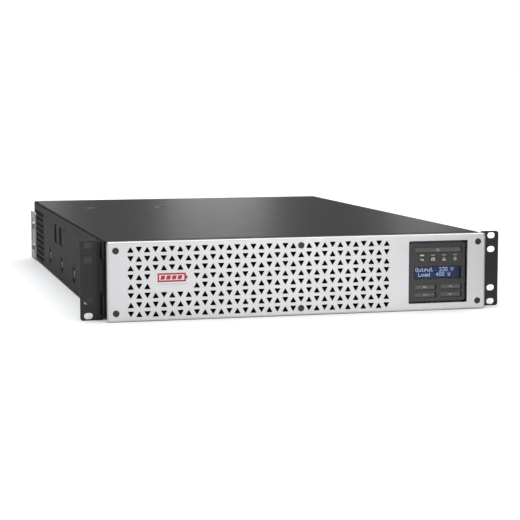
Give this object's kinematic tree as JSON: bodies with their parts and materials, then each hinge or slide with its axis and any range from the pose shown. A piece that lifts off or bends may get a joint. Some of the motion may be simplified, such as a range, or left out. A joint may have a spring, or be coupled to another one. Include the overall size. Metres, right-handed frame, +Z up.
{
  "type": "rack-mounted uninterruptible power supply",
  "caption": "Two-unit rack uninterruptible power supply with a perforated front plate, a display with keys, rack ears, rear outlets, fans and battery modules.",
  "frame": {"origin": "centre of the bounding box at the height of the surface that the unit stands on", "axes": "+X to the right seen from the front, +Y from the front plate to the back, +Z up"},
  "size_m": [0.4826, 0.6928, 0.0862],
  "materials": {
    "black_steel": "dark grey fine-texture powder coat, satin",
    "galvanised_steel": "galvanised sheet steel, dull",
    "insulation_film": "black insulating film, satin",
    "zinc_screw": "zinc-plated steel, satin",
    "silver_fascia": "silver painted and finely brushed plate, satin",
    "dark_screw": "black oxide steel, satin",
    "black_plastic": "moulded black plastic, fine texture",
    "filter_mesh": "black open-cell foam, matte",
    "button_plastic": "moulded dark grey plastic, satin",
    "smoked_lens": "smoked acrylic, gloss",
    "lcd_glass": "blue liquid-crystal panel, gloss",
    "clear_plastic": "frosted light pipe, gloss",
    "circuit_board": "green solder mask, semi-gloss",
    "component_plastic": "black component moulding, matte",
    "zinc_bracket": "zinc-plated sheet steel, satin",
    "fan_plastic": "black glass-filled plastic, matte",
    "chrome_wire": "nickel-plated wire, bright",
    "pin_metal": "nickel-plated brass, satin",
    "white_plastic": "white moulded plastic, semi-gloss",
    "green_plastic": "green terminal plastic, satin",
    "battery_sleeve": "grey painted sheet steel, satin",
    "cell_wrap": "shrink-wrapped steel can, semi-gloss",
    "laminated_iron": "varnished iron laminations, satin",
    "copper_winding": "enamelled copper wire, semi-gloss",
    "bare_aluminium": "extruded aluminium, satin",
    "capacitor_sleeve": "dark blue shrink sleeve, gloss"
  },
  "bodies": {
    "enclosure": {"top_cover": "black_steel", "chassis_tray": "galvanised_steel", "window_insulators": "insulation_film", "cover_screws": "zinc_screw", "cover_brace": "galvanised_steel", "front_fascia": "silver_fascia", "fascia_screws": "dark_screw", "bezel_frame": "black_plastic", "air_filter": "filter_mesh", "display_housing": "black_plastic", "display_lens": "smoked_lens", "lcd_panel": "lcd_glass", "status_light_pipes": "clear_plastic", "display_board": "circuit_board", "button_switches": "component_plastic", "rack_ear_left": "black_steel", "rack_ear_right": "black_steel", "rack_ear_screws": "dark_screw", "rear_bracket_left": "zinc_bracket", "rear_bracket_right": "zinc_bracket", "rear_bracket_screws": "zinc_screw", "rear_panel": "black_steel", "fan_frame_left": "fan_plastic", "fan_frame_right": "fan_plastic", "fan_guards": "chrome_wire", "fan_screws": "zinc_screw", "outlet_bank_upper": "black_plastic", "outlet_bank_lower": "black_plastic", "large_outlet": "black_plastic", "power_inlet": "black_plastic", "inlet_pins": "pin_metal", "circuit_breakers": "component_plastic", "accessory_cover": "zinc_bracket", "rear_panel_screws": "zinc_screw", "data_ports": "component_plastic", "shutdown_terminal": "green_plastic", "battery_case_left": "battery_sleeve", "battery_case_right": "battery_sleeve", "battery_cells": "cell_wrap", "battery_boards": "circuit_board", "battery_divider": "galvanised_steel", "transformer_core": "laminated_iron", "transformer_winding": "copper_winding", "main_board": "circuit_board", "board_standoffs": "pin_metal", "heatsinks": "bare_aluminium", "power_transistors": "component_plastic", "bus_capacitors": "capacitor_sleeve", "filter_chokes": "copper_winding", "transfer_relays": "component_plastic", "control_board": "circuit_board"},
    "power_button": {"power_button": "button_plastic"},
    "back_button": {"back_button": "button_plastic"},
    "up_button": {"up_button": "button_plastic"},
    "enter_button": {"enter_button": "button_plastic"},
    "down_button": {"down_button": "button_plastic"},
    "fan_rotor_left": {"fan_rotor_left": "fan_plastic"},
    "fan_rotor_right": {"fan_rotor_right": "fan_plastic"},
    "breaker_button_left": {"breaker_button_left": "white_plastic"},
    "breaker_button_right": {"breaker_button_right": "white_plastic"}
  },
  "joints": [
    {"name": "power_button_press", "type": "slide", "parent": "enclosure", "child": "power_button", "axis": [0, 1, 0], "range_m": [0, 0.0006], "stiffness_N_per_m": 900},
    {"name": "back_button_press", "type": "slide", "parent": "enclosure", "child": "back_button", "axis": [0, 1, 0], "range_m": [0, 0.0006], "stiffness_N_per_m": 900},
    {"name": "up_button_press", "type": "slide", "parent": "enclosure", "child": "up_button", "axis": [0, 1, 0], "range_m": [0, 0.0006], "stiffness_N_per_m": 900},
    {"name": "enter_button_press", "type": "slide", "parent": "enclosure", "child": "enter_button", "axis": [0, 1, 0], "range_m": [0, 0.0006], "stiffness_N_per_m": 900},
    {"name": "down_button_press", "type": "slide", "parent": "enclosure", "child": "down_button", "axis": [0, 1, 0], "range_m": [0, 0.0006], "stiffness_N_per_m": 900},
    {"name": "fan_spin_left", "type": "hinge", "parent": "enclosure", "child": "fan_rotor_left", "pos_m": [-0.164, 0.30085, 0.043], "axis": [0, 1, 0], "continuous": true},
    {"name": "fan_spin_right", "type": "hinge", "parent": "enclosure", "child": "fan_rotor_right", "pos_m": [-0.081, 0.30085, 0.043], "axis": [0, 1, 0], "continuous": true},
    {"name": "breaker_press_left", "type": "slide", "parent": "enclosure", "child": "breaker_button_left", "axis": [0, -1, 0], "range_m": [0, 0.002], "stiffness_N_per_m": 1200},
    {"name": "breaker_press_right", "type": "slide", "parent": "enclosure", "child": "breaker_button_right", "axis": [0, -1, 0], "range_m": [0, 0.002], "stiffness_N_per_m": 1200}
  ]
}
